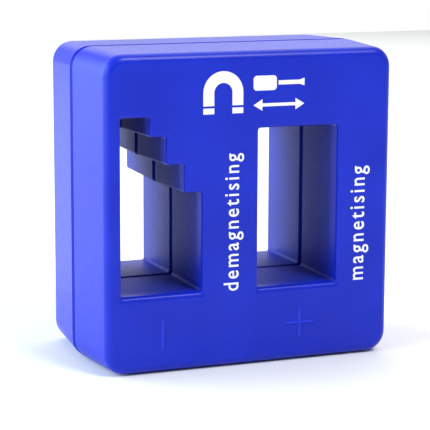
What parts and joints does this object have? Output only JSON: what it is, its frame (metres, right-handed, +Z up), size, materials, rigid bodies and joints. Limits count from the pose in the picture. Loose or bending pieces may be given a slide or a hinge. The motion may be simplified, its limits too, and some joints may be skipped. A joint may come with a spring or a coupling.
{
  "type": "magnetiser and demagnetiser block",
  "caption": "Square blue plastic bench block with a stepped opening that demagnetises and a plain opening that magnetises small tools.",
  "frame": {"origin": "centre of the bounding box at the underside", "axes": "+Z up as the block stands, +X to the right seen from the printed front face, the front face looks along -Y"},
  "size_m": [0.05, 0.028, 0.05],
  "materials": {
    "blue_plastic": "satin moulded ABS",
    "ferrite": "ground sintered ferrite, dull dark grey"
  },
  "bodies": {
    "root": {"front_shell": "blue_plastic", "back_shell": "blue_plastic", "magnet_middle": "ferrite", "magnet_right": "ferrite"}
  },
  "joints": []
}
